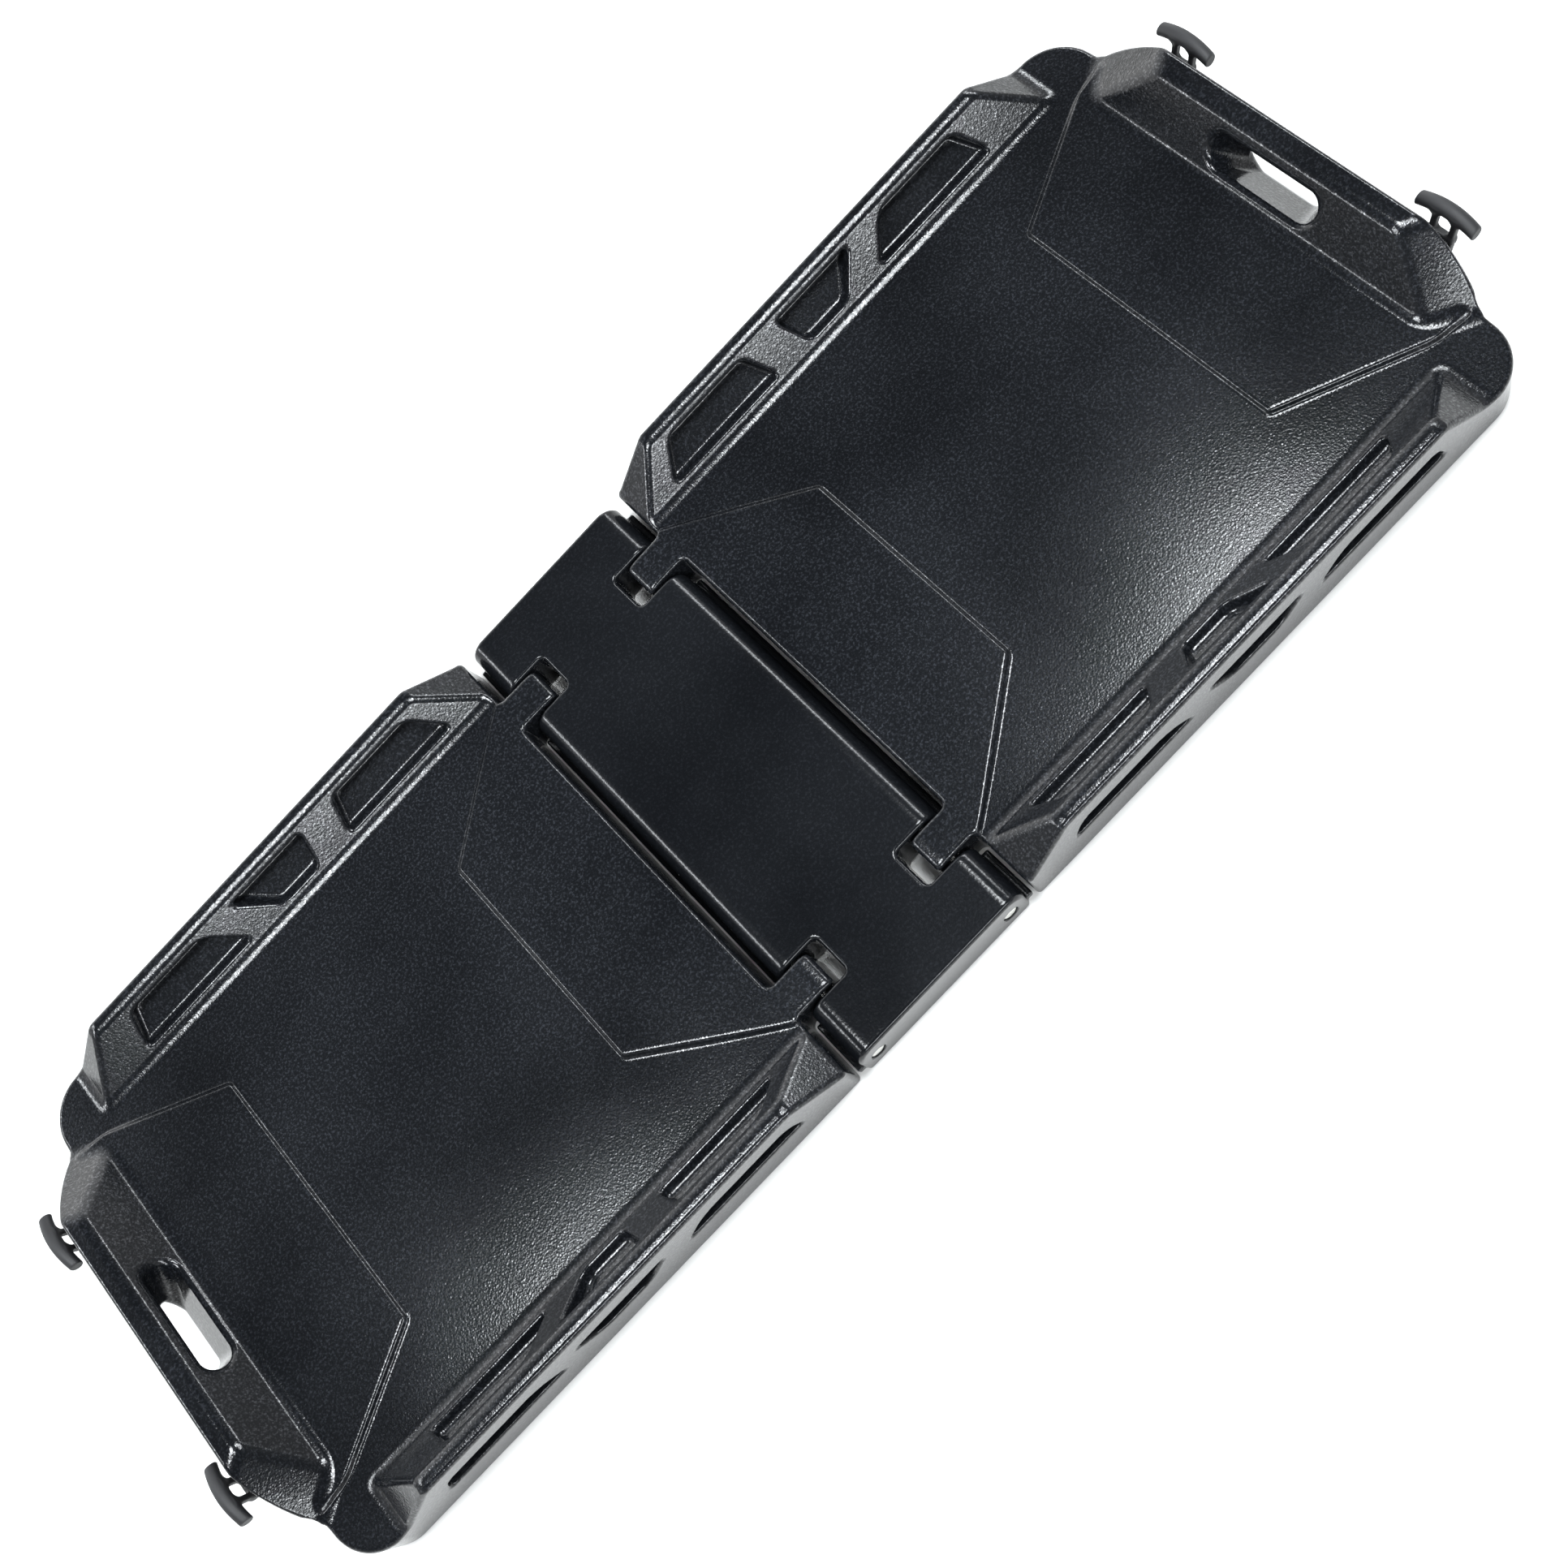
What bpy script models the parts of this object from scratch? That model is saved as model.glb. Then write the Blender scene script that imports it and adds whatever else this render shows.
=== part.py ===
"""Folding tyre traction board: two moulded panels hinged to a central spine, opened out flat.

World frame: +X runs along the board from the spine to panel A, +Y across it, +Z up.
The board stands on z = 0. Panel B is panel A turned half a turn about the Z axis.
"""

import math

import bmesh
import bpy
from mathutils import Matrix, Vector

MM = 0.001

# Spine and hinge
AXIS_X = 73.0
AXIS_Z = 20.0
SPINE_END_X = 90.0
SPINE_HALF_WIDTH = 250.0
SPINE_TOP = 45.0
SPINE_EDGE_RADIUS = 18.0
SPINE_SIDE_RADIUS = 8.0
NOTCH_INNER_Y = 156.5
NOTCH_OUTER_Y = 194.0
NOTCH_END_X = 44.5
ROD_RADIUS = 5.0
BORE_RADIUS = 5.3
CAP_RADIUS = 6.7
CAP_BORE_RADIUS = 7.0
CAP_SEAT_Y = 246.5

# Spine base cover
COVER_HALF_X = 41.7
COVER_HALF_Y = 235.0
COVER_THICK = 5.0
COVER_GAP = 0.3
SPINE_CAVITY_HALF_X = 32.0
SPINE_CAVITY_HALF_Y = 220.0
SPINE_CAVITY_TOP = 40.0
COVER_SCREW_X = 24.0
COVER_SCREW_Y = 228.0

# Panel plan
HINGE_EDGE_X = 99.0
PANEL_HALF_WIDTH = 250.0
FIELD_Z = 44.0
PLATEAU_Z = 47.0
LOBE_CENTRE_X = 597.0
LOBE_RADIUS = 43.0
LOBE_FOOT_Y = 190.0
END_WALL_X = 650.0
END_WALL_HALF_Y = 162.0
BAR_OUTER_X = 655.5
BAR_INNER_X = 636.0
BAR_TOP_Z = 92.0
BAR_UNDER_Z = 52.0
CREASE_X = 605.0

# Panel knuckles
KNUCKLE_INNER_Y = 159.0
KNUCKLE_OUTER_Y = 191.5
KNUCKLE_TOP_R = 27.0
KNUCKLE_END_REACH = 15.0
KNUCKLE_BOTTOM_R = 19.5

# Side ribs
RIB_TOP_Z = 82.0
RIB_TOP_INNER_Y = 238.0
RIB_BASE_INNER_Y = 203.0
RIB_TOP_START_X = 147.0
RIB_TOP_END_X = 541.0
RIB_BASE_END_X = 588.0
POCKET_DEPTH = 14.0
SLOT_DEPTH = 12.0
SLOT_LOW_Z = 36.0
SLOT_HIGH_Z = 56.0
# each pocket: low edge start, low edge end, high edge start, high edge end, along X
POCKETS = ((391, 523, 419, 507), (306, 351, 294, 382), (140, 267, 164, 253))
SLOTS = ((410, 543, 434, 533), (318, 368, 292, 394), (148, 276, 160, 250))

# Handle slot
HANDLE_X = 620.0
HANDLE_Z = 67.5
HANDLE_HALF_LENGTH = 57.0
HANDLE_HALF_HEIGHT = 14.7
HANDLE_SLOPE = math.atan2(52.0, 40.0)

# Underside
CAVITY = (130.0, 590.0, 180.0, 12.0, 40.0)
REBATE = (112.0, 608.0, 195.5, 12.0)
TREAD_TOP = 11.7
TREAD_BOTTOM = 6.7
TREAD_EDGE_GAP = 0.5
LUG_ROWS = 8
LUG_COLUMNS = 4
LUG_TAPER = 3.0
TREAD_SCREW_X = (121.0, 599.0)
TREAD_SCREW_Y = 187.5

# Latches
LATCH_Y = 132.0
LATCH_PIVOT_X = 662.0
LATCH_PIVOT_Z = 22.0
LATCH_BAR_X = 678.0
LATCH_BAR_Z = 70.0
LATCH_BAR_HALF = 27.5
LATCH_BAR_RADIUS = 7.0
STRAP_HALF_WIDTH = 12.0
STRAP_HALF_THICK = 3.5
PIN_RADIUS = 2.5
BRACKET_GAP = 0.3
BRACKET_THICK = 3.2
BRACKET_SCREW_Y = 21.5

COLOURS = {
    "board_plastic": ((0.012, 0.013, 0.015, 1), 0.45, 0.0),
    "tread_plastic": ((0.016, 0.016, 0.017, 1), 0.6, 0.0),
    "latch_rubber": ((0.014, 0.014, 0.015, 1), 0.75, 0.0),
    "steel": ((0.62, 0.62, 0.6, 1), 0.3, 1.0),
    "dark_steel": ((0.06, 0.06, 0.065, 1), 0.4, 1.0),
}


def clear_scene():
    for item in list(bpy.data.objects):
        bpy.data.objects.remove(item, do_unlink=True)


def material(slot, node_name):
    colour, roughness, metallic = COLOURS[slot]
    mat = bpy.data.materials.new(node_name + "_mat")
    mat.use_nodes = True
    shader = mat.node_tree.nodes["Principled BSDF"]
    shader.inputs["Base Color"].default_value = colour
    shader.inputs["Roughness"].default_value = roughness
    shader.inputs["Metallic"].default_value = metallic
    return mat


def object_from(bm, name):
    bmesh.ops.recalc_face_normals(bm, faces=bm.faces)
    mesh = bpy.data.meshes.new(name)
    bm.to_mesh(mesh)
    bm.free()
    item = bpy.data.objects.new(name, mesh)
    bpy.context.scene.collection.objects.link(item)
    return item


def hull(name, points, bevel=0.0, lowest=None):
    """Convex solid through the points; edges above `lowest` may be bevelled."""
    bm = bmesh.new()
    for point in points:
        bm.verts.new(Vector(point) * MM)
    found = bmesh.ops.convex_hull(bm, input=bm.verts)
    stray = [g for g in found["geom_interior"] + found["geom_unused"] if isinstance(g, bmesh.types.BMVert)]
    bmesh.ops.delete(bm, geom=list(set(stray)), context="VERTS")
    bmesh.ops.dissolve_limit(bm, angle_limit=0.002, verts=bm.verts, edges=bm.edges)
    if bevel:
        edges = [e for e in bm.edges if min(v.co.z for v in e.verts) > lowest * MM]
        bmesh.ops.bevel(bm, geom=edges, offset=bevel * MM, segments=2, affect="EDGES", profile=0.5)
    return object_from(bm, name)


def prism(name, outline, low, high, axis="Z"):
    """Extruded outline. axis Z: outline is (x, y). axis Y: outline is (x, z)."""
    bm = bmesh.new()
    if axis == "Z":
        first = [bm.verts.new((x * MM, y * MM, low * MM)) for x, y in outline]
        second = [bm.verts.new((x * MM, y * MM, high * MM)) for x, y in outline]
    else:
        first = [bm.verts.new((x * MM, low * MM, z * MM)) for x, z in outline]
        second = [bm.verts.new((x * MM, high * MM, z * MM)) for x, z in outline]
    bm.faces.new(first)
    bm.faces.new(reversed(second))
    count = len(outline)
    for i in range(count):
        j = (i + 1) % count
        bm.faces.new((first[i], second[i], second[j], first[j]))
    return object_from(bm, name)


def box(name, x0, x1, y0, y1, z0, z1):
    return prism(name, ((x0, y0), (x1, y0), (x1, y1), (x0, y1)), z0, z1)


def rod(name, x, z, y0, y1, radius, sides=20):
    outline = [
        (x + radius * math.cos(math.tau * i / sides), z + radius * math.sin(math.tau * i / sides))
        for i in range(sides)
    ]
    return prism(name, outline, y0, y1, axis="Y")


def post(name, x, y, z0, z1, radius, sides=14):
    outline = [
        (x + radius * math.cos(math.tau * i / sides), y + radius * math.sin(math.tau * i / sides))
        for i in range(sides)
    ]
    return prism(name, outline, z0, z1)


def combine(target, tool, operation):
    """Boolean of two closed solids; the tool is used up."""
    modifier = target.modifiers.new("combine", "BOOLEAN")
    modifier.operation = operation
    modifier.solver = "EXACT"
    modifier.object = tool
    graph = bpy.context.evaluated_depsgraph_get()
    result = bpy.data.meshes.new_from_object(target.evaluated_get(graph))
    target.modifiers.clear()
    target.data = result
    bpy.data.objects.remove(tool, do_unlink=True)


def add(target, *tools):
    for tool in tools:
        combine(target, tool, "UNION")


def cut(target, *tools):
    for tool in tools:
        combine(target, tool, "DIFFERENCE")


def tidy(item):
    bm = bmesh.new()
    bm.from_mesh(item.data)
    bmesh.ops.remove_doubles(bm, verts=bm.verts, dist=0.00002)
    bmesh.ops.dissolve_degenerate(bm, edges=bm.edges, dist=0.00002)
    bmesh.ops.dissolve_limit(bm, angle_limit=0.004, verts=bm.verts, edges=bm.edges)
    bmesh.ops.triangulate(bm, faces=bm.faces)
    bmesh.ops.recalc_face_normals(bm, faces=bm.faces)
    bm.to_mesh(item.data)
    bm.free()


def put_origin(item, origin):
    """Moves the object's origin onto its joint axis; the shape stays where it is."""
    place = Vector(origin) * MM
    item.data.transform(Matrix.Translation(-place))
    item.location = place


def finish(item, slot, round_piece=False):
    tidy(item)
    item.data.materials.clear()
    item.data.materials.append(material(slot, item.name))
    if round_piece:
        item.data.shade_smooth()
        item.data.set_sharp_from_angle(angle=math.radians(35))


def rounded(corners, radius, segments=3):
    """The polygon with each corner replaced by an arc of the radius."""
    result = []
    count = len(corners)
    for i in range(count):
        before = Vector(corners[i - 1])
        here = Vector(corners[i])
        after = Vector(corners[(i + 1) % count])
        to_before = (before - here).normalized()
        to_after = (after - here).normalized()
        half = to_before.angle(to_after) / 2
        reach = min(radius / math.tan(half), (before - here).length * 0.45, (after - here).length * 0.45)
        size = reach * math.tan(half)
        centre = here + (to_before + to_after).normalized() * (size / math.sin(half))
        start = here + to_before * reach - centre
        end = here + to_after * reach - centre
        turn = start.angle_signed(end)
        for k in range(segments + 1):
            angle = -turn * k / segments
            result.append(tuple(centre + Matrix.Rotation(angle, 2) @ start))
    return result


def arc(cx, cy, radius, start, end, segments):
    step = (end - start) / segments
    return [
        (cx + radius * math.cos(math.radians(start + step * i)), cy + radius * math.sin(math.radians(start + step * i)))
        for i in range(segments + 1)
    ]


def mirrored(points):
    """Closes a half outline, given from +Y towards the middle, by its mirror image."""
    return list(points) + [(x, -y) for x, y in reversed(points)]


def spine_block():
    """Spine profile with round gap edges, its two outer top edges eased off."""
    centre_x = SPINE_END_X - SPINE_EDGE_RADIUS
    centre_z = SPINE_TOP - SPINE_EDGE_RADIUS
    side = [(SPINE_END_X, 0.0)] + arc(centre_x, centre_z, SPINE_EDGE_RADIUS, 0, 90, 6)
    points = []
    for step in range(4):
        turn = math.radians(30 * step)
        inset = SPINE_SIDE_RADIUS * (1 - math.sin(turn))
        drop = SPINE_SIDE_RADIUS * (1 - math.cos(turn)) / SPINE_EDGE_RADIUS
        for x, z in side:
            low_z = z - max(0.0, z - centre_z) * drop
            for sx in (-1, 1):
                points += [(sx * x, sy * (SPINE_HALF_WIDTH - inset), low_z) for sy in (-1, 1)]
    return hull("spine_body", points)


def make_spine():
    spine = spine_block()
    for sx in (-1, 1):
        for sy in (-1, 1):
            xs = sorted((sx * NOTCH_END_X, sx * 120.0))
            ys = sorted((sy * NOTCH_INNER_Y, sy * NOTCH_OUTER_Y))
            corners = ((xs[0], ys[0]), (xs[1], ys[0]), (xs[1], ys[1]), (xs[0], ys[1]))
            cut(spine, prism("notch", rounded(corners, 5.0, 2), -10, 80))
        cut(spine, rod("bore", sx * AXIS_X, AXIS_Z, -300, 300, BORE_RADIUS))
        for sy in (-1, 1):
            ys = sorted((sy * CAP_SEAT_Y, sy * 300.0))
            cut(spine, rod("seat", sx * AXIS_X, AXIS_Z, ys[0], ys[1], CAP_BORE_RADIUS))
    gap = COVER_GAP
    cut(spine, box("rebate", -COVER_HALF_X - gap, COVER_HALF_X + gap, -COVER_HALF_Y - gap,
                   COVER_HALF_Y + gap, -10, COVER_THICK + gap))
    cut(spine, box("cavity", -SPINE_CAVITY_HALF_X, SPINE_CAVITY_HALF_X, -SPINE_CAVITY_HALF_Y,
                   SPINE_CAVITY_HALF_Y, 0, SPINE_CAVITY_TOP))
    cover = box("spine_base_cover", -COVER_HALF_X, COVER_HALF_X, -COVER_HALF_Y, COVER_HALF_Y, 0, COVER_THICK)
    number = 0
    for sx in (-1, 1):
        for sy in (-1, 1):
            number += 1
            x, y = sx * COVER_SCREW_X, sy * COVER_SCREW_Y
            cut(cover, post("head_seat", x, y, -5, 2.6, 4.5), post("hole", x, y, -5, 20, 2.3))
            cut(spine, post("hole", x, y, 0, 22, 2.3))
            screw = post("cover_screw_%d" % number, x, y, 0.2, 2.3, 4.1)
            add(screw, post("shank", x, y, 1.5, 20, 2.0, 10))
            finish(screw, "dark_steel", True)
    finish(spine, "board_plastic", True)
    finish(cover, "tread_plastic")


def make_rods():
    for letter, sx in (("a", 1), ("b", -1)):
        pin = rod("hinge_rod_" + letter, sx * AXIS_X, AXIS_Z, -CAP_SEAT_Y + 0.3, CAP_SEAT_Y - 0.3, ROD_RADIUS)
        finish(pin, "steel", True)
        for side, sy in (("far", 1), ("near", -1)):
            ys = sorted((sy * (CAP_SEAT_Y + 0.2), sy * (CAP_SEAT_Y + 2.4)))
            cap = rod("rod_cap_%s_%s" % (letter, side), sx * AXIS_X, AXIS_Z, ys[0], ys[1], CAP_RADIUS)
            bm = bmesh.new()
            bm.from_mesh(cap.data)
            outer = max(abs(v.co.y) for v in bm.verts)
            rim = [e for e in bm.edges if all(abs(abs(v.co.y) - outer) < 1e-7 for v in e.verts)]
            bmesh.ops.bevel(bm, geom=rim, offset=1.2 * MM, segments=2, affect="EDGES", profile=0.5)
            bm.to_mesh(cap.data)
            bm.free()
            finish(cap, "steel", True)


def panel_outline():
    lobe = arc(LOBE_CENTRE_X, PANEL_HALF_WIDTH - LOBE_RADIUS, LOBE_RADIUS, 90, 0, 8)
    half = [(HINGE_EDGE_X, PANEL_HALF_WIDTH)] + lobe
    half += [(LOBE_CENTRE_X + LOBE_RADIUS, LOBE_FOOT_Y), (END_WALL_X, END_WALL_HALF_Y)]
    return mirrored(half)


def slab():
    item = prism("panel", panel_outline(), 0, FIELD_Z)
    bm = bmesh.new()
    bm.from_mesh(item.data)
    rim = [
        e for e in bm.edges
        if all(v.co.z > (FIELD_Z - 1) * MM for v in e.verts)
        and max(v.co.x for v in e.verts) < END_WALL_X * MM
    ]
    bmesh.ops.bevel(bm, geom=rim, offset=2.0 * MM, segments=2, affect="EDGES", profile=0.5)
    bm.to_mesh(item.data)
    bm.free()
    return item


def rib(sy):
    base = FIELD_Z - 8
    points = []
    for z in (base, FIELD_Z - 1.5):
        for x in (HINGE_EDGE_X + 0.5, RIB_BASE_END_X):
            points += [(x, sy * (RIB_BASE_INNER_Y + 1), z), (x, sy * PANEL_HALF_WIDTH, z)]
    for x in (RIB_TOP_START_X, RIB_TOP_END_X):
        points += [(x, sy * RIB_TOP_INNER_Y, RIB_TOP_Z), (x, sy * PANEL_HALF_WIDTH, RIB_TOP_Z)]
    return hull("rib", points, bevel=2.5, lowest=FIELD_Z - 1)


def end_section():
    base = FIELD_Z - 8
    points = []
    for sy in (-1, 1):
        points += [(CREASE_X, sy * 178, base), (612, sy * 190, base), (640, sy * 191, base)]
        points += [(CREASE_X, sy * 178, FIELD_Z + 2), (611, sy * 187, FIELD_Z), (640, sy * 191, FIELD_Z - 1)]
        points += [(END_WALL_X, sy * END_WALL_HALF_Y, base)]
        points += [(BAR_OUTER_X, sy * 150, BAR_UNDER_Z), (BAR_OUTER_X, sy * 132, BAR_TOP_Z)]
        points += [(BAR_INNER_X, sy * 122, BAR_TOP_Z)]
    return hull("end", points, bevel=3.0, lowest=FIELD_Z + 4)


def plateau(name, outline, step):
    """Low raised area whose sides slope over `step`."""
    centre = Vector((sum(p[0] for p in outline), sum(p[1] for p in outline))) / len(outline)
    points = [(x, y, FIELD_Z - 4) for x, y in outline]
    for x, y in outline:
        inward = (centre - Vector((x, y))).normalized() * step
        points.append((x + inward.x, y + inward.y, PLATEAU_Z))
    return hull(name, points)


def knuckle(sy):
    x, z = AXIS_X, AXIS_Z
    tip = math.degrees(math.acos(-KNUCKLE_END_REACH / KNUCKLE_TOP_R))
    outline = [(125.0, 0.3), (125.0, z + KNUCKLE_TOP_R)] + arc(x, z, KNUCKLE_TOP_R, 90, tip, 4)
    outline += arc(x - KNUCKLE_END_REACH + 8, z - KNUCKLE_BOTTOM_R + 8, 8, 180, 270, 4)
    ys = sorted((sy * KNUCKLE_INNER_Y, sy * KNUCKLE_OUTER_Y))
    item = prism("knuckle", outline, ys[0], ys[1], axis="Y")
    return item


def pocket(sy, spec):
    """Recess sunk square to the inner slope of a rib."""
    low_a, low_b, high_a, high_b = spec
    foot = Vector((RIB_BASE_INNER_Y, FIELD_Z))
    along = Vector((RIB_TOP_INNER_Y, RIB_TOP_Z)) - foot
    length = along.length
    along.normalize()
    outward = Vector((-along.y, along.x))
    corners = rounded(((low_a, 9.0), (low_b, 9.0), (high_b, length - 10), (high_a, length - 10)), 5.0)
    middle = Vector(((low_a + low_b) / 2, length / 2))
    points = []
    for height, scale in ((9.0, 1.03), (0.0, 1.0), (-POCKET_DEPTH, 0.9)):
        for x, s in corners:
            flat = middle + (Vector((x, s)) - middle) * scale
            place = foot + along * flat.y + outward * height
            points.append((flat.x, sy * place.x, place.y))
    return hull("pocket", points)


def wall_slot(sy, spec):
    low_a, low_b, high_a, high_b = spec
    corners = rounded(((low_a, SLOT_LOW_Z), (low_b, SLOT_LOW_Z), (high_b, SLOT_HIGH_Z), (high_a, SLOT_HIGH_Z)), 4.0)
    middle = Vector(((low_a + low_b) / 2, (SLOT_LOW_Z + SLOT_HIGH_Z) / 2))
    points = []
    for depth, scale in ((-6.0, 1.03), (SLOT_DEPTH, 0.92)):
        for x, z in corners:
            flat = middle + (Vector((x, z)) - middle) * scale
            points.append((flat.x, sy * (PANEL_HALF_WIDTH - depth), flat.y))
    return hull("slot", points)


def handle_cutter():
    """Stadium hand hole, running from the sloped face out through the end wall."""
    along = Vector((math.cos(HANDLE_SLOPE), 0, -math.sin(HANDLE_SLOPE)))
    across = Vector((math.sin(HANDLE_SLOPE), 0, math.cos(HANDLE_SLOPE)))
    flat = HANDLE_HALF_LENGTH - HANDLE_HALF_HEIGHT
    ring = arc(flat, 0, HANDLE_HALF_HEIGHT, -90, 90, 8) + arc(-flat, 0, HANDLE_HALF_HEIGHT, 90, 270, 8)
    points = []
    for reach in (-60.0, 140.0):
        for y, s in ring:
            place = Vector((HANDLE_X, 0, HANDLE_Z)) + along * reach + across * s + Vector((0, y, 0))
            points.append(tuple(place))
    return hull("handle", points)


def make_shell():
    shell = slab()
    shell.name = "panel_a_shell"
    add(shell, rib(1), rib(-1), end_section())
    spine_side = [(HINGE_EDGE_X + 0.2, 189.5), (112, 189.5), (220, 122), (220, -122), (112, -189.5),
                  (HINGE_EDGE_X + 0.2, -189.5)]
    end_side = [(485, 131), (603, 188), (635, 192), (645, 160), (645, -160), (635, -192), (603, -188), (485, -131)]
    add(shell, plateau("spine_side", spine_side, 2.0), plateau("end_side", end_side, 4.0))
    add(shell, knuckle(1), knuckle(-1))
    for sy in (-1, 1):
        for spec in POCKETS:
            cut(shell, pocket(sy, spec))
        for spec in SLOTS:
            cut(shell, wall_slot(sy, spec))
    cut(shell, handle_cutter())
    cut(shell, rod("bore", AXIS_X, AXIS_Z, -220, 220, BORE_RADIUS))
    x0, x1, half_y, z0, z1 = CAVITY
    cut(shell, box("cavity", x0, x1, -half_y, half_y, z0 - 2, z1))
    x0, x1, half_y, z1 = REBATE
    cut(shell, box("rebate", x0, x1, -half_y, half_y, -5, z1))
    return shell


def make_tread():
    """Plate with rows of tapered lugs under it, all one moulding."""
    x0, x1, half_y, _ = REBATE
    x0, x1, half_y = x0 + TREAD_EDGE_GAP, x1 - TREAD_EDGE_GAP, half_y - TREAD_EDGE_GAP
    xs = grid_lines(x0, x1, LUG_ROWS, 26.0)
    ys = grid_lines(-half_y, half_y, LUG_COLUMNS, 26.0)
    bm = bmesh.new()
    grid = [[bm.verts.new((x * MM, y * MM, TREAD_BOTTOM * MM)) for y in ys] for x in xs]
    lugs = []
    for i in range(len(xs) - 1):
        for j in range(len(ys) - 1):
            face = bm.faces.new((grid[i][j], grid[i][j + 1], grid[i + 1][j + 1], grid[i + 1][j]))
            if i % 2 and j % 2:
                lugs.append(face)
    last_i, last_j = len(xs) - 1, len(ys) - 1
    border = [(i, 0) for i in range(last_i)] + [(last_i, j) for j in range(last_j)]
    border += [(i, last_j) for i in range(last_i, 0, -1)] + [(0, j) for j in range(last_j, 0, -1)]
    upper = [bm.verts.new((xs[i] * MM, ys[j] * MM, TREAD_TOP * MM)) for i, j in border]
    bm.faces.new(upper)
    for k, (i, j) in enumerate(border):
        n = (k + 1) % len(border)
        a, b = grid[i][j], grid[border[n][0]][border[n][1]]
        bm.faces.new((a, b, upper[n], upper[k]))
    made = bmesh.ops.extrude_discrete_faces(bm, faces=lugs)
    for face in made["faces"]:
        centre = face.calc_center_median()
        for vert in face.verts:
            away = vert.co - centre
            vert.co.x -= math.copysign(LUG_TAPER * MM, away.x)
            vert.co.y -= math.copysign(LUG_TAPER * MM, away.y)
            vert.co.z = 0.3 * MM
    tread = object_from(bm, "panel_a_tread")
    return tread


def grid_lines(start, end, count, margin):
    """Lines bounding `count` lugs, with gaps between them and a margin at each end."""
    pitch = (end - start - 2 * margin) / (count - 0.35)
    lines = [start]
    for i in range(count):
        lines += [start + margin + pitch * i, start + margin + pitch * (i + 0.65)]
    return lines + [end]


def make_tread_screws(shell, tread):
    screws = []
    for x in TREAD_SCREW_X:
        for sy in (-1, 1):
            y = sy * TREAD_SCREW_Y
            cut(tread, post("hole", x, y, 0, 20, 2.3))
            cut(shell, post("hole", x, y, 5, 27, 2.3))
            screw = post("panel_a_tread_screw_%d" % (len(screws) + 1), x, y, 4.0, 6.4, 4.5)
            add(screw, post("shank", x, y, 5.0, 25, 2.0, 10))
            screws.append(screw)
    return screws


def make_bracket(name, y0):
    wall = END_WALL_X + BRACKET_GAP
    front = wall + BRACKET_THICK
    bracket = box(name, wall, front, y0 - 26, y0 + 26, 9, 35)
    for side in (-1, 1):
        ys = sorted((y0 + side * 14.2, y0 + side * 17.4))
        ear = [(wall + 1, 13), (LATCH_PIVOT_X, 13)] + arc(LATCH_PIVOT_X, LATCH_PIVOT_Z, 8, -50, 50, 6)
        ear += [(LATCH_PIVOT_X, 31), (wall + 1, 31)]
        add(bracket, prism("ear", ear, ys[0], ys[1], axis="Y"))
    cut(bracket, rod("bore", LATCH_PIVOT_X, LATCH_PIVOT_Z, y0 - 30, y0 + 30, PIN_RADIUS + 0.3, 16))
    return bracket


def face_outward(item, seat):
    """Turns a piece made upright at the world origin to point along +X from the seat."""
    item.data.transform(Matrix.Translation(Vector(seat) * MM) @ Matrix.Rotation(math.pi / 2, 4, "Y"))


def make_wall_screw(name, seat):
    """Pan-head screw driven along -X into the end wall."""
    screw = post(name, 0, 0, 0, 2.2, 3.6)
    add(screw, post("shank", 0, 0, -16, 1, 1.8, 10))
    face_outward(screw, seat)
    return screw


def make_pin(name, y0):
    pin = rod(name, LATCH_PIVOT_X, LATCH_PIVOT_Z, y0 - 18.6, y0 + 18.6, PIN_RADIUS, 16)
    for side in (-1, 1):
        ys = sorted((y0 + side * 17.7, y0 + side * 19.2))
        add(pin, rod("head", LATCH_PIVOT_X, LATCH_PIVOT_Z, ys[0], ys[1], 4.0, 16))
    return pin


def make_strap(name, y0):
    """Rubber strap: eye round the pivot, body, two legs and the cross bar handle."""
    up = Vector((LATCH_BAR_X - LATCH_PIVOT_X, LATCH_BAR_Z - LATCH_PIVOT_Z))
    reach = up.length
    up.normalize()
    side = Vector((up.y, -up.x))

    def blade(low, high, ya, yb, thick):
        corners = []
        for s, t in ((low, -1), (high, -1), (high, 1), (low, 1)):
            place = Vector((LATCH_PIVOT_X, LATCH_PIVOT_Z)) + up * s + side * (t * thick)
            corners.append(tuple(place))
        return prism("blade", corners, ya, yb, axis="Y")

    strap = rod(name, LATCH_PIVOT_X, LATCH_PIVOT_Z, y0 - 13.6, y0 + 13.6, 6.2, 18)
    add(strap, blade(3.5, 31, y0 - STRAP_HALF_WIDTH, y0 + STRAP_HALF_WIDTH, STRAP_HALF_THICK))
    for t in (-1, 1):
        ys = sorted((y0 + t * 6.2, y0 + t * (STRAP_HALF_WIDTH - 0.4)))
        add(strap, blade(29, reach - 3, ys[0], ys[1], STRAP_HALF_THICK - 0.4))
    sides = 16
    points = []
    for y, r in ((-1.0, 0.82), (-0.9, 0.93), (0.0, 1.0), (0.9, 0.93), (1.0, 0.82)):
        for i in range(sides):
            a = math.tau * i / sides
            radius = LATCH_BAR_RADIUS * r
            points.append((LATCH_BAR_X + radius * math.cos(a), y0 + y * LATCH_BAR_HALF,
                           LATCH_BAR_Z + radius * math.sin(a)))
    add(strap, hull("bar", points))
    cut(strap, rod("bore", LATCH_PIVOT_X, LATCH_PIVOT_Z, y0 - 30, y0 + 30, PIN_RADIUS + 0.3, 16))
    return strap


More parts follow.
